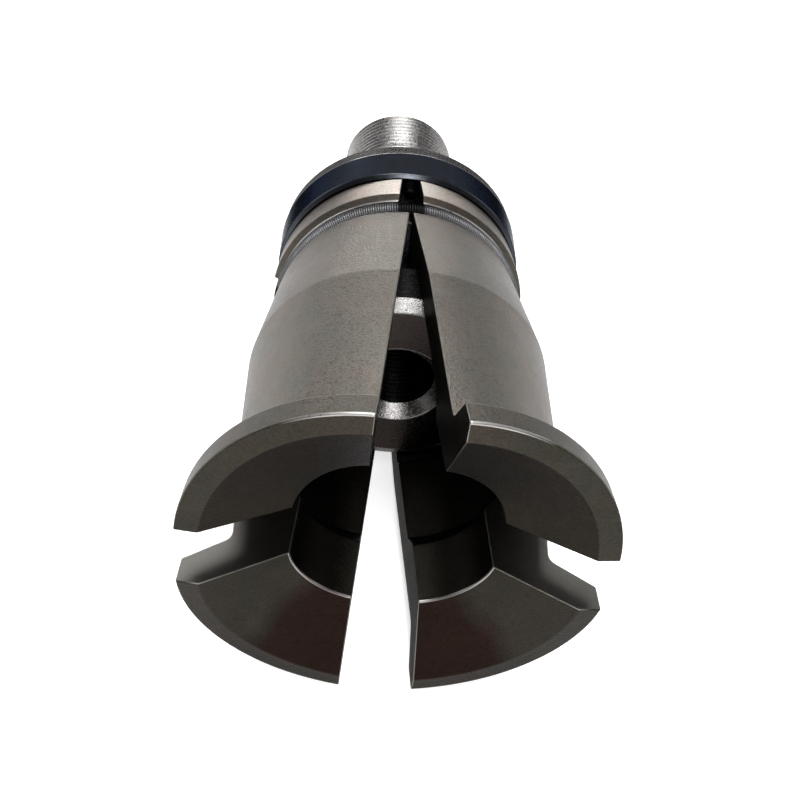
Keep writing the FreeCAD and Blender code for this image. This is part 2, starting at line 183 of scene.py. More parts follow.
def rocked(points, index):
    # jaw point (r, turn, w) with the mouth closed, rocked open about its line and carried to its quarter
    tilt = math.radians(layout["openAngle"])
    out = points[..., 0] * np.cos(points[..., 1]) - layout["rockRadius"]
    along = points[..., 2] - layout["rockStation"]
    x = layout["rockRadius"] + out * math.cos(tilt) + along * math.sin(tilt)
    y = points[..., 0] * np.sin(points[..., 1])
    w = layout["rockStation"] - out * math.sin(tilt) + along * math.cos(tilt)
    m = 2 * math.pi * (index + 0.5) / layout["jawCount"]
    return np.stack([x * math.cos(m) - y * math.sin(m), x * math.sin(m) + y * math.cos(m), w], -1)


# The hub
hub = dict(
    studRadius=10.0, studEnd=-27.6, studChamfer=1.0, reliefRear=-16.1, reliefFront=-13.1, reliefRadius=9.0,
    reliefSlope=1.0, threadPitch=1.1, threadDepth=0.6, threadFrom=-27.2, threadTo=-16.3,
    threadFade=0.6, threadSteep=1.35, threadFlat=0.2,     # of a pitch, and of the triangle wave
    threadPast=0.05, threadSkin=0.9,                      # which points count as the stud's surface
    shoulderRadius=20.0, shoulderChamfer=0.3, shoulderFace=2.6, edge=0.25,
    registerRadius=16.57, registerFace=8.08, registerBevel=0.55, neckRadius=10.5,
    headRear=27.78, headFace=35.98, headRadius=16.42, bevelWidth=2.0, bevelDepth=1.14, sinkRadius=7.45,
    boreRadius=5.46, borePitch=1.0, boreDepth=26.0, borePoint=3.28, boreThread=0.54, boreRunOut=1.5,
    borePast=0.3, sinkPast=0.2,                           # which points count as the bore's wall
    studRows=0.11, sinkRows=0.1, boreRows=0.12, runInset=0.3, columns=144,
)


def hubOutline():
    # open outline from the stud's end on the axis, round the bar and down into the bore, with close rows on
    # the stud, the countersink and the bore
    h = hub
    stud, studEnd, relief = h["studRadius"], h["studEnd"], h["reliefRadius"]
    shoulder, shoulderFace = h["shoulderRadius"], h["shoulderFace"]
    register, registerFace = h["registerRadius"], h["registerFace"]
    neck, head, headFace = h["neckRadius"], h["headRadius"], h["headFace"]
    sink, bore, boreEnd = h["sinkRadius"], h["boreRadius"], h["headFace"] - h["boreDepth"]
    sinkEnd = headFace - sink + bore
    # tones paint shade: 0.25 on the stud's plain band, 0.7 on the shoulder behind the ring, 1 on the neck and
    # head inside the jaws, 2 a dark brown on the front face, 3 near black in the bore; the fifth values mark
    # wear and painted highlights on the bevel's and countersink's edges
    corners = [
        (0, studEnd, 0), (stud - h["studChamfer"], studEnd, 0.15),
        (stud, studEnd + h["studChamfer"], 0.1), (stud, h["reliefRear"], 0.1),
        (relief, h["reliefRear"] + h["reliefSlope"], 0.3), (relief, h["reliefFront"], 0.3),
        (stud, h["reliefFront"], 0.15, 0.25), (stud, 0, 0.2, 0.7),
        (shoulder - h["shoulderChamfer"], 0, 0.15, 0.7), (shoulder, h["shoulderChamfer"], 0.1, 0.7),
        (shoulder, shoulderFace - h["edge"], 0.05), (shoulder - h["edge"], shoulderFace, 0.05),
        (register, shoulderFace, 0.05), (register, registerFace - h["registerBevel"], 0.1),
        (register - h["registerBevel"], registerFace, 0.1), (neck, registerFace, 0.8, 1),
        (neck, h["headRear"], 0.2, 1), (head, h["headRear"], 0.2, 1),
        (head, headFace - h["bevelDepth"], 0.12, 0), (head - h["bevelWidth"], headFace, 0.12, 2, 0.6),
        (sink, headFace, 0.12, 0, 0.8), (bore, sinkEnd, 0.08, 3),
        (bore, boreEnd, 0.15, 3), (0, boreEnd - h["borePoint"], 0, 3),
    ]
    line, marks = softProfile(corners, False)
    inset = h["runInset"]
    runs = [
        ((stud, studEnd + h["studChamfer"] + inset), (stud, h["reliefRear"] - inset), h["studRows"]),
        ((sink - inset, headFace - inset), (bore + inset, sinkEnd + inset), h["sinkRows"]),
        ((bore, sinkEnd - inset), (bore, boreEnd + inset), h["boreRows"]),
    ]
    for start, end, gap in runs:
        line, marks = refined(line, marks, start, end, gap)
    return line, marks


def hubThread(r, w, turn):
    # radial cut of a helical thread: a clipped triangle wave of w / pitch - turn / (2 pi), faded at its ends;
    # in the bore the wall moves out to the larger of its own radius and bore radius + depth times the wave
    h = hub
    boreEnd = h["headFace"] - h["boreDepth"]

    def groove(pitch, low, high):
        wave = np.abs(((w / pitch - turn / (2 * np.pi)) % 1.0) * 2 - 1)
        fade = h["threadFade"] * pitch
        ends = np.clip((w - low) / fade, 0, 1) * np.clip((high - w) / fade, 0, 1)
        return np.clip(wave * h["threadSteep"] - h["threadFlat"], 0, 1) * ends

    onStud = (w < h["reliefRear"] + h["threadPast"]) & (r > h["studRadius"] - h["threadSkin"])
    inBore = (w > boreEnd + h["borePast"]) & (r < h["sinkRadius"] - h["sinkPast"])
    stud = h["threadDepth"] * groove(h["threadPitch"], h["threadFrom"], h["threadTo"])
    bore = h["boreThread"] * groove(h["borePitch"], boreEnd + h["boreRunOut"], h["headFace"])
    reach = h["boreRadius"] + bore
    return np.where(onStud, stud, 0) - np.where(inBore, np.maximum(reach - r, 0), 0)


line, marks = hubOutline()
verts, faces, uv, mark = turnedShell(line, marks, hub["columns"], False, hubThread)
hubBar = newPiece("hubBar", toRow(verts), faces, uv, mark)
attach(hubBar, "hub")
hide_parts("drawbar_hub")
print("hub turned", len(verts), "points")

# The black ring and its dowels
ring = dict(bore=16.6, radius=20.35, rear=2.6, face=9.28, bevel=0.55, columns=160)
# tones paint shade: 0.5 on the front bevel, 1 on the front face and bore; the rear outer edge carries wear
# and a painted highlight
rim = [
    (ring["bore"], ring["rear"] + ring["bevel"], 0.1), (ring["bore"] + ring["bevel"], ring["rear"], 0.1),
    (ring["radius"], ring["rear"], 0.16, 0, 1.0), (ring["radius"], ring["face"] - ring["bevel"], 0.12, 0.5),
    (ring["radius"] - ring["bevel"], ring["face"], 0.12, 1),
    (ring["bore"] + ring["bevel"], ring["face"], 0.1, 1),
    (ring["bore"], ring["face"] - ring["bevel"], 0.1, 1),
]
line, marks = softProfile(rim, True)
verts, faces, uv, mark = turnedShell(line, marks, ring["columns"], True)
blackRing = newPiece("blackRing", toRow(verts), faces, uv, mark)
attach(blackRing, "hub")
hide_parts("thrust_ring")

dowel = dict(circle=18.475, radius=1.0, bottom=4.28, top=11.98, bevel=0.25, columns=48)
pin = [
    (0, dowel["bottom"], 0), (dowel["radius"] - dowel["bevel"], dowel["bottom"], 0.05),
    (dowel["radius"], dowel["bottom"] + dowel["bevel"], 0.05),
    (dowel["radius"], dowel["top"] - dowel["bevel"], 0.1),
    (dowel["radius"] - dowel["bevel"], dowel["top"], 0.1), (0, dowel["top"], 0),
]
line, marks = softProfile(pin, False)
verts, faces, uv, mark = turnedShell(line, marks, dowel["columns"], False)
dowelPins = []
for index in range(layout["jawCount"]):
    around = 2 * math.pi * index / layout["jawCount"]
    place = np.array([dowel["circle"] * math.cos(around), dowel["circle"] * math.sin(around), 0])
    pinPiece = newPiece("dowelPin%d" % (index + 1), toRow(verts + place), faces, uv, mark)
    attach(pinPiece, "hub")
    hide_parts("dowel_%d" % (index + 1))
    dowelPins.append(pinPiece)
print("ring and dowels made")

# The jaws
jaw = dict(
    face=72.1, flangeRadius=25.1, faceInner=22.0, land=3.61, back=8.05, root=19.16, fillet=1.0,
    funnel=6.9, lipRadius=11.03, lipLength=9.6, gripRadius=14.3, cavityRadius=15.9, headFace=35.98,
    frontGap=0.9, ridgeRadius=22.3, ridgeBack=35.4, tailRadius=21.27,
    grooveFront=18.15, grooveRear=15.7, grooveFloor=19.52,
    collarRadius=22.58, collarLand=21.7, landLength=0.4, step=0.45, wall=16.79, neckBore=10.9, seat=9.50,
    hook=26.813, collarSink=0.7, floorTuck=0.02, boreTuck=0.03,     # the collar's end, hidden in the body
    slotHalf=1.598, notchHalf=3.54, edge=0.16, edgeSteps=3, edgeWearSheen=0.62, columns=46, endColumn=0.012,
    # from here: which edges keep wear and a painted highlight, the flange's front edge brightest near the
    # slots
    nearEdge=1.0, highlightEnd=19.5, highlightFade=9.0, highlightLeast=0.3, lipDull=0.3, slotSide=4.0, slotDull=0.55,
)


def closedPlace(radius, station):
    # where a point given with the jaw open lies with the mouth closed: turned back about the rocking line
    tilt = math.radians(layout["openAngle"])
    out, along = radius - layout["rockRadius"], station - layout["rockStation"]
    return (layout["rockRadius"] + out * math.cos(tilt) - along * math.sin(tilt),
            layout["rockStation"] + out * math.sin(tilt) + along * math.cos(tilt))


def jawOutlines():
    # closed outlines of the jaw's body and of its collar, which reaches a little way into the body
    j = jaw
    funnelEnd = j["face"] - j["funnel"]
    lipEnd = funnelEnd - j["lipLength"]
    hookIn, hookOut = closedPlace(j["neckBore"], j["hook"]), closedPlace(j["wall"], j["hook"])
    rock = closedPlace(j["wall"], layout["rockStation"])
    heel = closedPlace(j["neckBore"], j["seat"])
    boreSlope = (hookIn[0] - heel[0]) / (hookIn[1] - heel[1])
    boreAt = heel[0] + boreSlope * (j["grooveFront"] - heel[1])
    # tones paint shade: 1 on the front ring, 2 on the funnel, 3 over the jaw's inside, and 0.4 darkens the
    # flange's outside a little; the fifth values mark wear and painted highlights on the lip, the flange's
    # front edge and the rear edge
    body = [
        (j["lipRadius"], funnelEnd, 0.2, 2, 0.68), (j["faceInner"], j["face"], 0.22, 1),
        (j["flangeRadius"], j["face"], 0.3, 0.4, 1.0), (j["flangeRadius"], j["face"] - j["land"], 0.22),
        (j["root"], j["face"] - j["back"], j["fillet"]),
        (j["ridgeRadius"], j["face"] - j["ridgeBack"], 0.3), (j["tailRadius"], j["grooveFront"], 0.4, 0, 0.8),
        (boreAt, j["grooveFront"], 0.15, 3), (*hookIn, 0.25, 3), (*hookOut, 0.25, 3),
        (*rock, 0.2, 3), (rock[0], j["headFace"], 0.3, 3),
        (j["cavityRadius"], j["headFace"] + j["frontGap"], 0.3, 3),
        (j["gripRadius"], lipEnd - j["gripRadius"] + j["lipRadius"], 0.25, 3),
        (j["lipRadius"], lipEnd, 0.22, 3),
    ]
    tan = math.tan(math.radians(layout["openAngle"]))
    landEnd = j["grooveRear"] - j["landLength"]
    front = j["grooveFront"] + j["collarSink"]
    # the collar's tone 0.7 paints shade on its step, and -1 a painted highlight on its band
    collar = [
        (j["grooveFloor"] - j["floorTuck"], front, 0.05), (j["grooveFloor"], j["grooveRear"], 0.2),
        (j["collarLand"], j["grooveRear"], 0.18, 0, 1.0), (j["collarLand"], landEnd, 0.1, 0.7),
        (j["collarRadius"], landEnd - j["step"], 0.18, -1),
        (j["collarRadius"], heel[1] + (j["collarRadius"] - heel[0]) * tan, 0.2), (*heel, 0.2),
        (boreAt + j["boreTuck"] + boreSlope * j["collarSink"], front, 0.05),
    ]
    return body, collar


def sectorShell(line, marks, gap, offset):
    # quarter of a turned ring between two saw cuts whose faces lie gap from the middle of each slot:
    # point (i, j) turns by t (45 deg - asin((gap + edge) / r)); its two long edges roll over by
    # edge (1 - cos a) into the outline and edge (1 - sin a) towards the cut; points count from offset
    edge, steps, half = jaw["edge"], jaw["edgeSteps"], np.pi / layout["jawCount"]
    step = np.roll(line, -1, 0) - np.roll(line, 1, 0)
    step /= np.linalg.norm(step, axis=1)[:, None]
    area = 0.5 * np.sum(line[:, 0] * np.roll(line[:, 1], -1) - np.roll(line[:, 0], -1) * line[:, 1])
    inward = np.stack([-step[:, 1], step[:, 0]], 1) * np.sign(area)
    t = np.linspace(-1, 1, jaw["columns"])
    t = np.concatenate([t[:1], [t[0] + jaw["endColumn"]], t[1:-1], [t[-1] - jaw["endColumn"]], t[-1:]])
    limit = half - np.arcsin((gap + edge) / line[:, 0])
    middle = limit[:, None] * t[None, :]
    turned = np.stack([np.repeat(line[:, :1], len(t), 1), middle, np.repeat(line[:, 1:], len(t), 1)], -1)
    turnedMarks = np.repeat(marks[:, None], len(t), 1)
    a = np.linspace(0, np.pi / 2, steps + 1)[1:]
    sunk = edge * (1 - np.cos(a))
    away = gap + edge * (1 - np.sin(a))
    inset = line[:, None] + inward[:, None] * sunk[None, :, None]
    turn = half - np.arcsin(away[None, :] / inset[..., 0])
    right = np.stack([inset[..., 0], turn, inset[..., 1]], -1)
    left = right * np.array([1, -1, 1])
    points = np.concatenate([left[:, ::-1], turned, right], 1)
    # the rolled slot edges carry wear and a painted highlight
    edgeMarks = np.full((len(line), steps), jaw["edgeWearSheen"])
    edgeMarks = np.stack([edgeMarks, np.repeat(marks[:, 1:], steps, 1)], -1)
    pointMarks = np.concatenate([edgeMarks, turnedMarks, edgeMarks], 1)
    rows, columns = points.shape[:2]
    faces = gridFaces(rows, columns, True, False, offset)
    if area < 0:
        faces = faces[:, ::-1]
    start = (offset + np.arange(rows) * columns).tolist()
    end = (offset + np.arange(rows) * columns + columns - 1).tolist()
    sides = [start[::-1], end] if area > 0 else [start, end[::-1]]
    return points.reshape(-1, 3), faces.tolist(), sides, pointMarks.reshape(-1, 2)


def keptWearSheen(points, placed):
    # how much of each edge's wear and painted highlight a point keeps: the flange's front edge keeps a
    # painted highlight beside the slots that fades further out, the lip's edge stays bright only on the lower
    # jaws, and the edges along the lower slot are dull
    aside, up = np.abs(placed[:, 0]) * 1000, placed[:, 2] * 1000
    radius, station, near = points[:, 0], points[:, 2], jaw["nearEdge"]
    rim = (radius > jaw["flangeRadius"] - near) & (station > jaw["face"] - near)
    beside = np.clip((jaw["highlightEnd"] - aside) / jaw["highlightFade"], jaw["highlightLeast"], 1)
    lip = (radius < jaw["lipRadius"] + near) & (station > jaw["face"] - jaw["funnel"] - near) & (up > 0)
    lowSlot = (aside < jaw["slotSide"]) & (up < 0)
    kept = np.where(rim, beside, 1) * np.where(lip, jaw["lipDull"], 1)
    return kept * np.where(lowSlot, jaw["slotDull"], 1)


bodyCorners, collarCorners = jawOutlines()
body = sectorShell(*softProfile(bodyCorners, True), jaw["slotHalf"], 0)
collar = sectorShell(*softProfile(collarCorners, True), jaw["notchHalf"], len(body[0]))
points, mark = np.concatenate([body[0], collar[0]]), np.concatenate([body[3], collar[3]])
faces, sides = body[1] + collar[1], body[2] + collar[2]
uv = np.stack([points[:, 1] / (2 * np.pi), points[:, 2] * layout["unroll"]], -1)
jawPieces = []
for index in range(layout["jawCount"]):
    placed = toRow(rocked(points, index))
    wearAndSheen = mark.copy()
    wearAndSheen[:, 0] *= keptWearSheen(points, placed)
    piece = newPiece("jawQuarter%d" % (index + 1), placed, faces + sides, uv, wearAndSheen, len(sides))
    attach(piece, "jaw_%d" % (index + 1))
    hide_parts("jaw_%d" % (index + 1))
    jawPieces.append(piece)
print("jaws made", len(points), "points each")

# The ring spring
coil = dict(
    floor=19.52, gap=0.075, radius=1.15, wire=0.17, pitch=0.36, station=16.925, overlap=0.42,
    pointsPerTurn=14, sides=6, arcPoints=90, bridgePoints=24, step=0.05, toneFade=0.8,
)


def arcThrough(a, b, c, count):
    # points of the circle's arc from a through b to c: centre + R (cos q u + sin q v), with q from 0 to the
    # arc's angle, and the direction at its end
    ab, ac = b - a, c - a
    n = np.cross(ab, ac)
    centre = a + (np.cross(n, ab) * (ac @ ac) + np.cross(ac, n) * (ab @ ab)) / (2 * n @ n)
    u = a - centre
    size = np.linalg.norm(u)
    u = u / size
    v = np.cross(n / np.linalg.norm(n), u)
    end = math.atan2((c - centre) @ v, (c - centre) @ u) % (2 * math.pi)
    q = np.linspace(0, end, count)[:, None]
    ahead = -math.sin(end) * u + math.cos(end) * v
    return centre + size * (np.cos(q) * u + np.sin(q) * v), ahead


def springPath():
    # closed line of the spring: an arc in each jaw's groove and a tangent bend across each notch
    ringRadius = coil["floor"] + coil["gap"] + coil["radius"]
    half = math.pi / layout["jawCount"] - math.asin(jaw["notchHalf"] / ringRadius)

    def place(turn, index):
        return rocked(np.array([ringRadius, turn, coil["station"]]), index % layout["jawCount"])

    runs = []
    for index in range(layout["jawCount"]):
        start, middle, end = place(-half, index), place(0, index), place(half, index)
        hold, ahead = arcThrough(start, middle, end, coil["arcPoints"])
        following = place(-half, index + 1)
        chord = following - end
        across = chord / np.linalg.norm(chord)
        rise = ahead - across * (ahead @ across)
        bend = math.atan2(np.linalg.norm(rise), ahead @ across)
        lift = np.linalg.norm(chord) / 2 * math.tan(bend / 2)
        crown = end + chord / 2 + rise / np.linalg.norm(rise) * lift
        over, _ = arcThrough(end, crown, following, coil["bridgePoints"])
        runs += [hold[:-1], over[:-1]]
    path = np.concatenate(runs)
    path = np.concatenate([path, path[:1]])
    length = np.concatenate([[0], np.cumsum(np.linalg.norm(np.diff(path, axis=0), axis=1))])
    return path, length


def alongPath(path, length, s):
    # point and direction of the closed line at the distances s

    def at(distance):
        where = np.mod(distance, length[-1])
        return np.stack([np.interp(where, length, path[:, k]) for k in range(3)], -1)

    s = np.mod(s, length[-1])
    ahead = at(s + coil["step"]) - at(s - coil["step"])
    return at(s), ahead / np.linalg.norm(ahead, axis=-1, keepdims=True)


def coilPoints(path, length, turns, s):
    # wire's middle line: path(s) + R (cos q n + sin q b), with q = 2 pi turns s / length, n pointing away
    # from the axis and b square to n and the path
    point, ahead = alongPath(path, length, s)
    outward = point * np.array([1, 1, 0])
    outward -= ahead * np.sum(outward * ahead, -1, keepdims=True)
    outward /= np.linalg.norm(outward, axis=-1, keepdims=True)
    beside = np.cross(ahead, outward)
    q = 2 * np.pi * turns * s / length[-1]
    size = coil["radius"] - coil["wire"]
    return point + size * (np.cos(q)[:, None] * outward + np.sin(q)[:, None] * beside), point


def coilArc(index):
    # tube of the wire over one quarter of the ring and a little past it each way: middle line +
    # R (cos q side + sin q other), where side points away from the coil's core
    path, length = springPath()
    turns = round(length[-1] / coil["pitch"])
    quarter = length[-1] / layout["jawCount"]
    holdLength = np.linalg.norm(np.diff(path[:coil["arcPoints"]], axis=0), axis=1).sum()
    bridge = quarter - holdLength
    low = index * quarter - bridge * coil["overlap"] - bridge / 2
    high = index * quarter + holdLength + bridge / 2 + bridge * coil["overlap"]
    count = int((high - low) / length[-1] * turns * coil["pointsPerTurn"])
    s = np.linspace(low, high, count)
    middle, core = coilPoints(path, length, turns, s)
    ahead = np.gradient(middle, axis=0)
    ahead /= np.linalg.norm(ahead, axis=1, keepdims=True)
    side = middle - core
    side -= ahead * np.sum(side * ahead, 1, keepdims=True)
    side /= np.linalg.norm(side, axis=1, keepdims=True)
    other = np.cross(ahead, side)
    q = np.linspace(0, 2 * np.pi, coil["sides"], endpoint=False)
    around = np.cos(q)[None, :, None] * side[:, None] + np.sin(q)[None, :, None] * other[:, None]
    tube = middle[:, None] + coil["wire"] * around
    faces = gridFaces(count, coil["sides"], False, True)[:, ::-1].tolist()
    faces.append(list(range(coil["sides"])))
    faces.append(list(range(count * coil["sides"] - 1, (count - 1) * coil["sides"] - 1, -1)))
    uv = np.stack([np.repeat(s * layout["unroll"], coil["sides"]), np.tile(q / (2 * np.pi), count)], -1)
    # tone 1 over the bridges and 0 over the hold, with a short change between them: painted shade where
    # the spring crosses the notches
    beyond = np.maximum(index * quarter - s, s - index * quarter - holdLength)
    tone = np.clip(0.5 + beyond / coil["toneFade"], 0, 1)
    marks = np.stack([np.zeros(count), tone], -1)
    return tube.reshape(-1, 3), faces, uv, np.repeat(marks, coil["sides"], 0)


coilPieces = []
for index in range(layout["jawCount"]):
    verts, faces, uv, mark = coilArc(index)
    piece = newPiece("coilArc%d" % (index + 1), toRow(verts), faces, uv, mark)
    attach(piece, "jaw_%d" % (index + 1))
    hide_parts("garter_spring")
    coilPieces.append(piece)
print("spring wound", len(verts), "points an arc")


# Materials
def nodeIn(tree, kind, **values):
    node = tree.nodes.new(kind)
    for key, value in values.items():
        setattr(node, key, value)
    return node


def makeGroup(name, inputs, outputs):
    # empty shader group with named sockets: (name, kind)
    group = bpy.data.node_groups.new(name, "ShaderNodeTree")
    for way, sockets in (("INPUT", inputs), ("OUTPUT", outputs)):
        for label, kind in sockets:
            group.interface.new_socket(name=label, in_out=way, socket_type=kind)
    return group, nodeIn(group, "NodeGroupInput"), nodeIn(group, "NodeGroupOutput")


def ramp(tree, source, low, high):
    # value stretched so that low becomes 0 and high becomes 1
    node = nodeIn(tree, "ShaderNodeMapRange", clamp=True)
    node.inputs["From Min"].default_value = low
    node.inputs["From Max"].default_value = high
    tree.links.new(source, node.inputs["Value"])
    return node.outputs["Result"]


def calc(tree, kind, first, second):
    # sum, product and so on of two sockets or numbers
    node = nodeIn(tree, "ShaderNodeMath", operation=kind)
    for socket, value in zip(node.inputs, (first, second)):
        if isinstance(value, (int, float)):
            socket.default_value = value
        else:
            tree.links.new(value, socket)
    return node.outputs[0]


def blendColour(tree, factor, first, second, mode="MIX"):
    # two colours blended by a factor; each may be a socket or a plain value
    node = nodeIn(tree, "ShaderNodeMix", data_type="RGBA", blend_type=mode)
    for socket, value in zip((node.inputs[0], node.inputs[6], node.inputs[7]), (factor, first, second)):
        if isinstance(value, (tuple, float)):
            socket.default_value = value
        else:
            tree.links.new(value, socket)
    return node.outputs[2]


def noise(tree, vector, scale, detail, rough=0.5, stretch=None):
    # noise texture over a place, which may be stretched first
    if stretch is not None:
        mapping = nodeIn(tree, "ShaderNodeMapping")
        mapping.inputs["Scale"].default_value = stretch
        tree.links.new(vector, mapping.inputs["Vector"])
        vector = mapping.outputs["Vector"]
    node = nodeIn(tree, "ShaderNodeTexNoise")
    node.inputs["Scale"].default_value = scale
    node.inputs["Detail"].default_value = detail
    node.inputs["Roughness"].default_value = rough
    tree.links.new(vector, node.inputs["Vector"])
    return node.outputs["Fac"]


# of each noise its scale, detail and roughness, and the stretch of its place where it has one
noises = dict(
    grain=(3000.0, 3.0, 0.7), clouds=(260.0, 5.0, 0.68), hue=(150.0, 6.0, 0.62), pits=(900.0, 1.0, 0.4),
    oneWay=(420.0, 2.0, 0.5, (1.0, 0.06, 0.35)), otherWay=(520.0, 2.0, 0.5, (0.08, 0.8, 1.0)),
    rings=(1.0, 3.0, 0.7, (6.0, 2600.0, 1.0)), bands=(1.0, 2.0, 0.5, (2.0, 260.0, 1.0)), overlay=(140.0, 3.0),
)
# the two values between which a mask goes from 0 to 1
spans = dict(
    pits=(0.70, 0.76), oneWay=(0.66, 0.70), otherWay=(0.68, 0.72), clouds=(0.3, 0.7), hue=(0.44, 0.56),
    grain=(0.40, 0.60), bands=(0.3, 0.7), wearSheen=(0.35, 1.0), unworn=(0.6, 0.2),
)
# shares of the clouds' colour, the scratches' depth and the wear's polish, and the bump's distance in metres
metal = dict(cloudShare=0.5, scratchDepth=0.5, wearPolish=0.04, bumpDistance=0.00005)


def makeSurfaceField():
    # grain, soft clouds, small pits and short scratches of handled steel, from the piece's own place
    group, put, out = makeGroup(
        "surfaceField", [("Place", "NodeSocketVector")],
        [("Grain", "NodeSocketFloat"), ("Clouds", "NodeSocketFloat"), ("Hue", "NodeSocketFloat"),
         ("Pits", "NodeSocketFloat"), ("Scratches", "NodeSocketFloat")])
    place = put.outputs["Place"]
    for label in ("Grain", "Clouds", "Hue"):
        group.links.new(noise(group, place, *noises[label.lower()]), out.inputs[label])
    pits, one, two = (ramp(group, noise(group, place, *noises[kind]), *spans[kind])
                      for kind in ("pits", "oneWay", "otherWay"))
    group.links.new(pits, out.inputs["Pits"])
    group.links.new(calc(group, "MAXIMUM", one, two), out.inputs["Scratches"])
    return group


def makeLathe():
    # fine rings left by turning: noise that changes quickly along the axis and slowly round it
    group, put, out = makeGroup(
        "latheRings", [("Unrolled", "NodeSocketVector")],
        [("Rings", "NodeSocketFloat"), ("Bands", "NodeSocketFloat")])
    for label in ("Rings", "Bands"):
        group.links.new(noise(group, put.outputs["Unrolled"], *noises[label.lower()]), out.inputs[label])
    return group


surfaceField = makeSurfaceField()
latheRings = makeLathe()


def metalBase(name, look):
    # satin metal: colour from hues, clouds, grain, turned bands, pits and scratches, roughness and bump from
    # the same fields, both smoother where an edge is worn
    material = bpy.data.materials.new(name)
    material.use_nodes = True
    tree = material.node_tree
    shader = tree.nodes["Principled BSDF"]
    shader.inputs["Metallic"].default_value = 1.0
    shader.inputs["Specular Tint"].default_value = look["edgeTint"]
    coords = nodeIn(tree, "ShaderNodeTexCoord")
    field = nodeIn(tree, "ShaderNodeGroup", node_tree=surfaceField)
    tree.links.new(coords.outputs["Object"], field.inputs["Place"])
    rings = nodeIn(tree, "ShaderNodeGroup", node_tree=latheRings)
    unrolled = nodeIn(tree, "ShaderNodeUVMap", uv_map="turned")
    tree.links.new(unrolled.outputs["UV"], rings.inputs["Unrolled"])
    wearAndSheen = nodeIn(tree, "ShaderNodeAttribute", attribute_name="wearAndSheen").outputs["Fac"]
    pits, scratches = field.outputs["Pits"], field.outputs["Scratches"]
    clouds = ramp(tree, field.outputs["Clouds"], *spans["clouds"])
    hue = ramp(tree, field.outputs["Hue"], *spans["hue"])
    grain = ramp(tree, field.outputs["Grain"], *spans["grain"])
    bands = ramp(tree, rings.outputs["Bands"], *spans["bands"])
    colour = blendColour(tree, hue, look["base"], look["other"])
    layers = [
        (clouds, metal["cloudShare"], look["deep"]), (grain, look["grain"], look["light"]),
        (bands, look["bands"], look["deep"]), (pits, look["pits"], look["pit"]),
        (scratches, look["scratches"], look["light"]),
    ]
    for mask, share, other in layers:
        colour = blendColour(tree, calc(tree, "MULTIPLY", mask, share), colour, other)
    wearSheen = calc(tree, "MULTIPLY", ramp(tree, wearAndSheen, *spans["wearSheen"]), look["wearSheen"])
    rough = look["rough"]
    for mask, share in ((grain, look["roughGrain"]), (clouds, look["roughClouds"])):
        swing = calc(tree, "SUBTRACT", mask, 0.5)
        rough = calc(tree, "ADD", rough, calc(tree, "MULTIPLY", swing, share))
    rough = calc(tree, "SUBTRACT", rough, calc(tree, "MULTIPLY", wearSheen, metal["wearPolish"]))
    height = calc(tree, "ADD", calc(tree, "MULTIPLY", grain, look["grainHeight"]),
                  calc(tree, "MULTIPLY", rings.outputs["Rings"], look["ringHeight"]))
    for mask, depth in ((pits, look["pitHeight"]), (scratches, look["pitHeight"] * metal["scratchDepth"])):
        height = calc(tree, "SUBTRACT", height, calc(tree, "MULTIPLY", mask, depth))
    height = calc(tree, "MULTIPLY", height, ramp(tree, wearAndSheen, *spans["unworn"]))
    bump = nodeIn(tree, "ShaderNodeBump")
    bump.inputs["Strength"].default_value = look["bump"]
    bump.inputs["Distance"].default_value = metal["bumpDistance"]
    tree.links.new(height, bump.inputs["Height"])
    tree.links.new(bump.outputs["Normal"], shader.inputs["Normal"])
    tree.links.new(rough, shader.inputs["Roughness"])
    return material, tree, shader, colour, wearSheen


def tintedWhere(tree, mask, colour, tint):
    # the colour multiplied by a tint where the mask is 1
    return blendColour(tree, mask, colour, blendColour(tree, 1.0, colour, tint, "MULTIPLY"))


def toned(tree, colour, tints, highlightTint):
    # the side's tone 1, 2 or 3 multiplies the colour by the first, second or third tint, as painted shade,
    # and tone -1 by the highlight tint, as a painted highlight
    tone = nodeIn(tree, "ShaderNodeAttribute", attribute_name="tone").outputs["Fac"]
    tinted = tintedWhere(tree, ramp(tree, tone, 0.0, -1.0), colour, highlightTint)
    for step, tint in enumerate(tints):
        reach = ramp(tree, tone, float(step), float(step + 1))
        tinted = blendColour(tree, reach, tinted, blendColour(tree, 1.0, colour, tint, "MULTIPLY"))
    return tinted


def paint(name, look, tints, highlightTint=(1, 1, 1, 1), overlay=None):
    # the metal, tinted by the tone of each side (painted shade, and a painted highlight on tone -1), then
    # given its overlay of painted light and tint, and bright where an edge is worn or carries a painted
    # highlight
    material, tree, shader, colour, wearSheen = metalBase(name, look)
    colour = toned(tree, colour, tints, highlightTint)
    if overlay is not None:
        colour = overlay(tree, colour)
    # worn edges and the painted highlights on edges both take the bright colour
    colour = blendColour(tree, wearSheen, colour, look["bright"])
    tree.links.new(colour, shader.inputs["Base Color"])
    return material


steelLook = dict(
    base=(0.136, 0.134, 0.114, 1), other=(0.158, 0.134, 0.112, 1), deep=(0.107, 0.098, 0.080, 1),
    light=(0.216, 0.203, 0.181, 1), pit=(0.07, 0.06, 0.05, 1), bright=(0.52, 0.50, 0.48, 1),
    edgeTint=(0.6, 0.6, 0.62, 1), grain=0.65, bands=0.12, pits=0.3, scratches=0.25, wearSheen=0.9, rough=0.36,
    roughGrain=0.10, roughClouds=0.08, grainHeight=0.9, ringHeight=0.2, pitHeight=0.6, bump=0.5,
)
# painted shade: tints for the front ring, the funnel and the jaw's inside
jawShadeTints = [(0.20, 0.196, 0.18, 1), (0.165, 0.157, 0.146, 1), (0.10, 0.096, 0.09, 1)]
# painted highlight: the collar band made about three times lighter
collarHighlightTint = (3.1, 3.0, 3.08, 1)
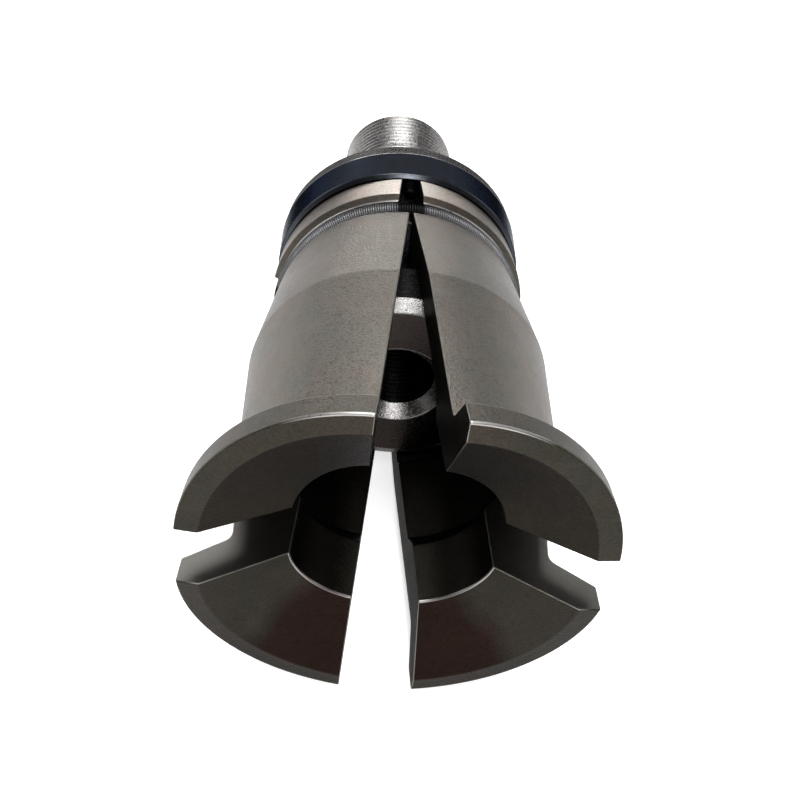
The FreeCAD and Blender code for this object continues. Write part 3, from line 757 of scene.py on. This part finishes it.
# painted light and a tint on the jaws: tints, and the tones or metres between which each one comes in
jawPaintedLightAndTints = dict(
    uneven=0.008, funnelTone=((1.4, 1.9), (2.6, 2.1)), frontTone=((0.5, 0.95), (1.5, 1.05)),
    bandTone=(-0.2, -0.9), lower=(-0.0025, 0.003), lowerReflectionTint=(0.62, 0.42, 0.42, 1),
    upper=(-0.002, 0.004), upperShadeTint=(0.66, 0.63, 0.58, 1),
    beside=(0.013, 0.004), above=(0.010, 0.016), frontTint=(1.42, 1.24, 1.24, 1),
    away=(0.003, 0.012), collarHighlightFadeTint=(0.31, 0.31, 0.308, 1),
)


def paintJawLightAndTint(tree, colour):
    # painted reflection as a reddish-brown cast on the lower funnels, on the bottom slot's side of each jaw's
    # middle, painted shade dulling the upper funnels, the upper front rings lighter and browner beside the
    # slot, and the collar's painted highlight faded away from the top and bottom notches
    coords = nodeIn(tree, "ShaderNodeTexCoord").outputs["Object"]
    place = nodeIn(tree, "ShaderNodeSeparateXYZ")
    tree.links.new(coords, place.inputs[0])
    tone = nodeIn(tree, "ShaderNodeAttribute", attribute_name="tone").outputs["Fac"]
    up, aside = place.outputs["Z"], calc(tree, "ABSOLUTE", place.outputs["X"], 0.0)
    swing = calc(tree, "SUBTRACT", noise(tree, coords, *noises["overlay"]), 0.5)
    uneven = calc(tree, "MULTIPLY", swing, jawPaintedLightAndTints["uneven"])

    def both(first, second):
        return calc(tree, "MULTIPLY", first, second)

    def onTone(label):
        # 1 on the sides whose tone lies between the two spans
        rise, fall = jawPaintedLightAndTints[label]
        return both(ramp(tree, tone, *rise), ramp(tree, tone, *fall))

    def wavy(where, label):
        return ramp(tree, calc(tree, "ADD", where, uneven), *jawPaintedLightAndTints[label])

    funnel = onTone("funnelTone")
    inward = calc(tree, "SUBTRACT", both(up, -1.0), aside)
    # painted reflection: a reddish-brown cast on the lower funnels
    colour = tintedWhere(tree, both(wavy(inward, "lower"), funnel), colour, jawPaintedLightAndTints["lowerReflectionTint"])
    # painted shade: the upper funnels dulled
    colour = tintedWhere(tree, both(wavy(up, "upper"), funnel), colour, jawPaintedLightAndTints["upperShadeTint"])
    beside = both(wavy(aside, "beside"), ramp(tree, up, *jawPaintedLightAndTints["above"]))
    colour = tintedWhere(tree, both(beside, onTone("frontTone")), colour, jawPaintedLightAndTints["frontTint"])
    # painted highlight: the collar band dulled back away from the top and bottom notches
    band = both(ramp(tree, tone, *jawPaintedLightAndTints["bandTone"]), ramp(tree, aside, *jawPaintedLightAndTints["away"]))
    return tintedWhere(tree, band, colour, jawPaintedLightAndTints["collarHighlightFadeTint"])


jawSteel = paint("jawSteel", steelLook, jawShadeTints, collarHighlightTint, paintJawLightAndTint)

cutLook = dict(
    steelLook, base=(0.092, 0.090, 0.082, 1), other=(0.096, 0.089, 0.080, 1), deep=(0.076, 0.072, 0.065, 1),
    light=(0.114, 0.111, 0.103, 1), edgeTint=(0.2, 0.2, 0.2, 1), grain=0.25, bands=0.0, pits=0.1,
    scratches=0.1, wearSheen=0.0, rough=0.31, roughGrain=0.03, roughClouds=0.04, grainHeight=0.1, ringHeight=0.0,
    pitHeight=0.1, bump=0.05,
)
cutSteel = paint("cutSteel", cutLook, [])
for piece in jawPieces:
    piece.data.materials[0] = jawSteel
    piece.data.materials[1] = cutSteel

hubLook = dict(
    steelLook, base=(0.28, 0.272, 0.268, 1), other=(0.285, 0.27, 0.26, 1), deep=(0.22, 0.213, 0.21, 1),
    light=(0.40, 0.39, 0.385, 1), bright=(0.25, 0.243, 0.238, 1), edgeTint=(0.3, 0.3, 0.3, 1), bands=0.3,
    pits=0.2, wearSheen=0.6, rough=0.28, grainHeight=0.3, ringHeight=0.8, bump=0.35,
)
# painted shade: tints for the neck and head, the front face (with a brown cast) and the bore
hubShadeTints = [(0.19, 0.19, 0.196, 1), (0.09, 0.077, 0.07, 1), (0.008, 0.008, 0.009, 1)]
hubBar.data.materials[0] = paint("hubSteel", hubLook, hubShadeTints)

ringLook = dict(
    base=(0.078, 0.084, 0.096, 1), other=(0.075, 0.081, 0.093, 1), deep=(0.060, 0.065, 0.075, 1),
    light=(0.108, 0.113, 0.124, 1), pit=(0.02, 0.02, 0.022, 1), bright=(0.55, 0.54, 0.52, 1),
    edgeTint=(0.15, 0.16, 0.18, 1), grain=0.35, bands=0.2, pits=0.2, scratches=0.2, wearSheen=0.9, rough=0.22,
    roughGrain=0.06, roughClouds=0.06, grainHeight=0.3, ringHeight=0.3, pitHeight=0.5, bump=0.25,
)
# painted shade on the ring's front bevel, front face and bore
ringShadeTints = [(0.15, 0.15, 0.15, 1), (0.15, 0.15, 0.15, 1), (0.1, 0.1, 0.1, 1)]
blackRing.data.materials[0] = paint("ringBlack", ringLook, ringShadeTints)

# near-black pins: painted shade of the deep notches they sit in
pinLook = dict(
    ringLook, base=(0.006, 0.006, 0.006, 1), other=(0.006, 0.006, 0.006, 1), deep=(0.004, 0.004, 0.004, 1),
    light=(0.010, 0.010, 0.010, 1), edgeTint=(0.05, 0.05, 0.05, 1), wearSheen=0.0, rough=0.45,
)
pinSteel = paint("pinSteel", pinLook, [])
for piece in dowelPins:
    piece.data.materials[0] = pinSteel

wireLook = dict(
    ringLook, base=(0.150, 0.150, 0.154, 1), other=(0.145, 0.143, 0.146, 1), deep=(0.08, 0.08, 0.082, 1),
    light=(0.23, 0.228, 0.232, 1), edgeTint=(0.3, 0.3, 0.31, 1), bands=0.0, wearSheen=0.0, rough=0.42,
    ringHeight=0.0,
)
# painted shade: the spring darkened across the notches
wireSteel = paint("wireSteel", wireLook, [(0.12, 0.12, 0.12, 1)])
for piece in coilPieces:
    piece.data.materials[0] = wireSteel
print("materials made")

# Floor, light and camera, in metres
studio = dict(
    floorSize=3.0, floorPoints=5, floorColour=(0.86, 0.86, 0.86, 1), floorRough=0.9, paperGlow=0.5,
    restApart=0.02, hover=0.00004,        # least way from rim to ring along the floor, and the floor's gap
    zenith=(0.26, 0.26, 0.27, 1), horizon=(0.82, 0.82, 0.83, 1), front=(0.10, 0.10, 0.10, 1), glow=1.0,
    highSpan=(0.0, 0.75), frontSpan=(0.05, 0.6), frontHigh=(0.02, 0.25), aim=(0, -0.03, 0), steep=0.95,
)
boxes = [
    dict(name="topBox", place=(-0.03, 0.06, 0.90), width=0.44, height=0.34, power=8.4),
    dict(name="leftBox", place=(-0.8, 0.1, 0.4), width=0.5, height=0.5, power=2.05),
    dict(name="rightBox", place=(0.8, 0.1, 0.4), width=0.5, height=0.5, power=1.5),
    dict(name="backBox", place=(-0.05, 0.87, 0.20), width=0.62, height=0.12, power=2.5),
    dict(name="frontBox", place=(0.03, -0.75, 0.27), width=0.16, height=0.14, power=0.9),
    dict(name="keyBox", place=(0.03, -0.50, 0.62), width=0.16, height=0.26, power=2.05),
]


def pointsOf(piece):
    # the mesh's points as an array
    co = np.zeros(len(piece.data.vertices) * 3, np.float32)
    piece.data.vertices.foreach_get("co", co)
    return co.reshape(-1, 3)


# the floor touches the two lowest rim corners and the ring, so it leans with the chuck as it lies
flat = np.concatenate([pointsOf(o) for o in jawPieces + [blackRing, hubBar]])[:, 1:]
low = flat[np.argmin(flat[:, 1])]
ahead = flat[flat[:, 0] > low[0] + studio["restApart"]]
slope = np.min((ahead[:, 1] - low[1]) / (ahead[:, 0] - low[0]))
lean = math.atan(slope)
reach = np.linspace(-studio["floorSize"] / 2, studio["floorSize"] / 2, studio["floorPoints"])
u, v = np.meshgrid(reach, reach)
plane = np.stack([u, low[0] + v * math.cos(lean), low[1] - studio["hover"] + v * math.sin(lean)], -1)
floorMesh = bpy.data.meshes.new("floor")
floorMesh.from_pydata(plane.reshape(-1, 3).tolist(), [], gridFaces(*u.shape, False, False).tolist())
floor = bpy.data.objects.new("floor", floorMesh)
bpy.context.scene.collection.objects.link(floor)
paper = bpy.data.materials.new("paper")
paper.use_nodes = True
tree = paper.node_tree
shader = tree.nodes["Principled BSDF"]
shader.inputs["Base Color"].default_value = studio["floorColour"]
shader.inputs["Roughness"].default_value = studio["floorRough"]
shader.inputs["Emission Color"].default_value = (1, 1, 1, 1)
path = nodeIn(tree, "ShaderNodeLightPath")
seen = calc(tree, "MAXIMUM", path.outputs["Is Camera Ray"], path.outputs["Is Glossy Ray"])
seen = calc(tree, "MAXIMUM", seen, path.outputs["Is Transmission Ray"])
tree.links.new(calc(tree, "MULTIPLY", seen, studio["paperGlow"]), shader.inputs["Emission Strength"])
floorMesh.materials.append(paper)

world = bpy.data.worlds.new("studio")
bpy.context.scene.world = world
world.use_nodes = True
tree = world.node_tree
coords = nodeIn(tree, "ShaderNodeTexCoord")
split = nodeIn(tree, "ShaderNodeSeparateXYZ")
tree.links.new(coords.outputs["Generated"], split.inputs[0])
# bright at the horizon, darker overhead, and darkest above the camera's side
high = ramp(tree, split.outputs["Z"], *studio["highSpan"])
sky = blendColour(tree, high, studio["horizon"], studio["zenith"])
towards = calc(tree, "MULTIPLY", split.outputs["Y"], -1.0)
near = calc(tree, "MULTIPLY", ramp(tree, towards, *studio["frontSpan"]),
            ramp(tree, split.outputs["Z"], *studio["frontHigh"]))
path = nodeIn(tree, "ShaderNodeLightPath")
seen = calc(tree, "SUBTRACT", 1.0, path.outputs["Is Camera Ray"])
sky = blendColour(tree, calc(tree, "MULTIPLY", near, seen), sky, studio["front"])
background = tree.nodes["Background"]
tree.links.new(sky, background.inputs["Color"])
background.inputs["Strength"].default_value = studio["glow"]


def softbox(name, place, width, height, power):
    # rectangular lamp at a place, facing the chuck; one that looks nearly straight down takes its side from y
    lamp = bpy.data.lights.new(name, "AREA")
    lamp.shape = "RECTANGLE"
    lamp.size, lamp.size_y, lamp.energy = width, height, power
    holder = bpy.data.objects.new(name, lamp)
    bpy.context.scene.collection.objects.link(holder)
    place, aim = np.array(place, float), np.array(studio["aim"], float)
    back = (place - aim) / np.linalg.norm(place - aim)
    side = np.cross([0, 0, 1.0] if abs(back[2]) < studio["steep"] else [0, 1.0, 0], back)
    side /= np.linalg.norm(side)
    turn = np.eye(4)
    turn[:3, 0], turn[:3, 1], turn[:3, 2], turn[:3, 3] = side, np.cross(back, side), back, place
    holder.matrix_world = Matrix(turn.tolist())


for box in boxes:
    softbox(**box)

view = dict(
    focal=1116.14, pixels=800.0, sensor=36.0, clipStart=0.01, clipEnd=20.0,     # focal length in pixels
    place=(-0.01242726, -0.16000675, 0.11829073), right=(0.99379959, 0.00241009, 0.11116009),
    down=(0.08088325, -0.70166214, -0.70790405), ahead=(0.07629072, 0.71250574, -0.69750648),
)
camera = bpy.data.cameras.new("camera")
camera.sensor_width = view["sensor"]
camera.lens = view["focal"] / view["pixels"] * view["sensor"]
camera.clip_start = view["clipStart"]
camera.clip_end = view["clipEnd"]
cameraObject = bpy.data.objects.new("camera", camera)
bpy.context.scene.collection.objects.link(cameraObject)
turn = np.eye(4)
turn[:3, 0], turn[:3, 1], turn[:3, 2] = view["right"], -np.array(view["down"]), -np.array(view["ahead"])
turn[:3, 3] = view["place"]
cameraObject.matrix_world = Matrix(turn.tolist())
bpy.context.scene.camera = cameraObject
print("studio set, floor leans", round(math.degrees(lean), 2))
